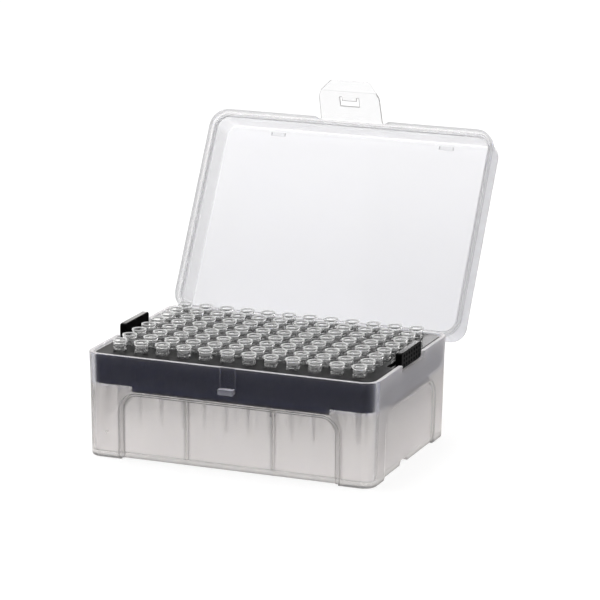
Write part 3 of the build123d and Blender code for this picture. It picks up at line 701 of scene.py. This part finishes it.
# %% [markdown]
# Black parts
# -----------
# The rack and the lift clips are black. The rack has a fine spark-eroded grain that softens
# its reflections, and the clips are duller still. A black surface is all reflection, so the
# share it mirrors is set as well as its roughness. Faces that look up are a little glossier
# than the sides, and the rack's ends catch the bright backdrop behind the box.

# %% Finish of the rack and the clips
CLOUD_SIZE = 14 * MM
CLOUD_SWING = 0.12
BLACK_DETAIL = 2.0
FACING_UP = 0.9
COAT_ROUGHNESS = 0.12
RACK_END_X = (49 * MM, 54 * MM)
RACK_REAR_Y = (-25 * MM, 5 * MM)


def black_plastic(name, colour, roughness, mirrored, grain_size, grain_depth, polish):
    """Moulded black with a grain; mirrored is the specular level of the skin.

    Roughness swings by half of CLOUD_SWING each way, in soft clouds. Faces that look up have
    a thin coat whose share is polish, and which is full at the ends, towards the rear."""
    finish = Finish(bpy.data.materials.new(name))
    grain = finish.noise(grain_size, BLACK_DETAIL)
    cloud = finish.noise(CLOUD_SIZE, BLACK_DETAIL) - 0.5
    upward = finish.part(finish.coordinates("Normal"), "Z") > FACING_UP
    end = finish.rise(abs(finish.part(finish.place, "X")), *RACK_END_X)
    rear = finish.rise(finish.part(finish.place, "Y"), *RACK_REAR_Y)
    return finish.surface(finish.node("ShaderNodeBsdfPrincipled", inputs={
        "Base Color": (*colour, 1.0),
        "Roughness": cloud * CLOUD_SWING + roughness,
        "IOR": PLASTIC_IOR,
        "Specular IOR Level": mirrored,
        "Coat Weight": upward * blend(end * rear, polish, 1.0),
        "Coat Roughness": COAT_ROUGHNESS,
        "Normal": finish.bump(grain, grain_depth),
    }))


rack_finish = black_plastic("black_rack", (0.008, 0.008, 0.009), roughness=0.34, mirrored=0.025,
                            grain_size=0.35 * MM, grain_depth=0.002 * MM, polish=0.05)
clip_finish = black_plastic("black_clip", (0.004, 0.004, 0.004), roughness=0.40, mirrored=0.015,
                            grain_size=0.30 * MM, grain_depth=0.004 * MM, polish=0.03)

# %% Dress the parts
FINISHES = {
    "base": base_finish,
    "lid": lid_finish,
    "latch_tab": tab_finish,
    "rack": rack_finish,
    "lift_clip_left": clip_finish,
    "lift_clip_right": clip_finish,
}
for node, material in FINISHES.items():
    for slot in frame["nodes"][node].material_slots:
        slot.material = material
print("dressed", ", ".join(FINISHES))

# %% [markdown]
# The tips
# --------
# A tip is a turned shape: a flange at the mouth, a collar, a tapered body and a fine stem,
# hollow all the way. Four short fins under the collar carry it on the deck. It could be cut
# from cylinders, but one closed surface is cleaner: a profile runs down the outside, round
# the fine end and up the bore, and each of its points is carried round the axis. The fins
# are places where the radius grows between two heights and within a narrow angle, so they
# come out of the same formula.

# %% Profile of a tip
TIP_ROUND = 0.12
FIN_REACH = 2.8
FIN_HALF = 0.275
FIN_TOP = 2.55
FIN_FOOT = 4.19


def rounded(points, radius):
    """Cuts each corner of an open profile: three points take its place.

    Two lie on its sides at distance radius from it, but no further than a third of the side,
    and one between them is half the corner and a quarter of each of the two."""
    points = np.array(points, float)
    before, corner, after = points[:-2], points[1:-1], points[2:]
    to_before = before - corner
    to_after = after - corner
    length_before = np.linalg.norm(to_before, axis=1, keepdims=True)
    length_after = np.linalg.norm(to_after, axis=1, keepdims=True)
    cut_before = corner + to_before / length_before * np.minimum(radius, length_before / 3)
    cut_after = corner + to_after / length_after * np.minimum(radius, length_after / 3)
    middle = (cut_before + cut_after + 2 * corner) / 4
    cut = np.stack([cut_before, middle, cut_after], axis=1).reshape(-1, 2)
    return np.vstack([points[:1], cut, points[-1:]])


# Radius and depth below the mouth, in millimetres: down the outside, then up the bore.
OUTSIDE = [
    (2.5, 0.0), (2.9, 0.0), (2.9, 0.85), (2.62, 1.15), (2.55, 1.6), (2.46, 1.75), (2.55, 1.95),
    (2.55, FIN_TOP), (2.55, 3.3), (2.3, 3.45), (2.24, FIN_FOOT), (1.75, 12.0), (1.1, 15.5),
    (0.42, 31.9)]
BORE = [
    (0.2, 32.0), (0.22, 31.0), (0.68, 15.5), (1.33, 12.0), (1.83, 3.3), (2.1, 1.5), (2.1, 0.3),
    (2.5, 0.0)]
# The bore ends where the outside starts, so the last point is left out.
profile = rounded(OUTSIDE + BORE, TIP_ROUND)[:-1]
OUTSIDE_ROWS = 3 * (len(OUTSIDE) - 1)
print("tip profile", len(profile), "points,", OUTSIDE_ROWS, "of them outside")

# %% Surface of a tip
QUARTER = math.pi / 2
FIN_EDGE = math.asin(FIN_HALF / FIN_REACH)
FIN_SLOPE = 1.25
FIN_ROOM = 1.01
BETWEEN_START = 0.28
BETWEEN_COUNT = 6
FIN_FIRST = FIN_TOP + 0.2
FIN_LAST = FIN_FOOT + 0.06


def fin_angles():
    """Angles round the tip, close together at the edges of the four fins and even between."""
    slope = FIN_EDGE * FIN_SLOPE
    between = np.linspace(BETWEEN_START, QUARTER - BETWEEN_START, BETWEEN_COUNT)
    quarter = np.concatenate([[-slope, -FIN_EDGE, 0, FIN_EDGE, slope], between])
    turns = np.arange(4) * QUARTER + QUARTER / 2
    return (turns[:, None] + quarter[None, :]).ravel()


def tip_surface():
    """Points of one tip with its mouth at height 0, as rows of the profile by angles.

    The radius is the profile's, but FIN_REACH where a fin stands: within its angle and
    between its top and its foot, on the outside only."""
    angles = fin_angles()
    radius, depth = profile[:, 0], profile[:, 1]
    outside = np.arange(len(profile)) < OUTSIDE_ROWS
    from_fin = angles % QUARTER - QUARTER / 2
    fin_round = np.abs(from_fin) <= FIN_EDGE * FIN_ROOM
    fin_rows = outside & (depth > FIN_FIRST) & (depth < FIN_LAST)
    reach = np.where(fin_rows[:, None] & fin_round[None, :], FIN_REACH, radius[:, None])
    x = reach * np.cos(angles)
    y = reach * np.sin(angles)
    z = np.broadcast_to(-depth[:, None], x.shape)
    return np.stack([x, y, z], axis=-1) * MM


def grid_faces(rows, columns):
    """Quads of a grid that closes on itself both ways, in the order that faces outwards."""
    row = np.arange(rows)[:, None]
    column = np.arange(columns)[None, :]
    next_row = (row + 1) % rows
    next_column = (column + 1) % columns
    quads = [next_row * columns + column, next_row * columns + next_column,
             row * columns + next_column, row * columns + column]
    return np.stack(np.broadcast_arrays(*quads), axis=-1).reshape(-1, 4)


one_tip = tip_surface()
tip_faces = grid_faces(*one_tip.shape[:2])
print("one tip has", one_tip.shape[0], "rings of", one_tip.shape[1], "points")

# %% Twelve columns of eight tips
PITCH = 9 * MM
ROWS = 8
COLUMNS = 12


def new_piece(name, points, faces, material):
    """A smooth mesh object at the origin, made from arrays of points and quads."""
    mesh = bpy.data.meshes.new(name)
    mesh.from_pydata(points.reshape(-1, 3).tolist(), [], faces.tolist())
    mesh.polygons.foreach_set("use_smooth", np.ones(len(mesh.polygons), bool))
    mesh.materials.append(material)
    mesh.update()
    piece = bpy.data.objects.new(name, mesh)
    scene.collection.objects.link(piece)
    return piece


points_each = one_tip.shape[0] * one_tip.shape[1]
column_faces = tip_faces[None] + np.arange(ROWS)[:, None, None] * points_each
for number in range(1, COLUMNS + 1):
    node = f"tips_column_{number:02d}"
    low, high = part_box(node)
    places = np.zeros((ROWS, 1, 1, 3))
    places[..., 0] = (low.x + high.x) / 2
    places[:, 0, 0, 1] = (np.arange(ROWS) - (ROWS - 1) / 2) * PITCH
    places[..., 2] = high.z
    column = new_piece(f"clear_tips_{number:02d}", one_tip[None] + places,
                       column_faces.reshape(-1, 4), tip_finish)
    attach(column, "box")
    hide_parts(node)
print("tips:", COLUMNS * ROWS, "with", len(tip_faces), "faces each")
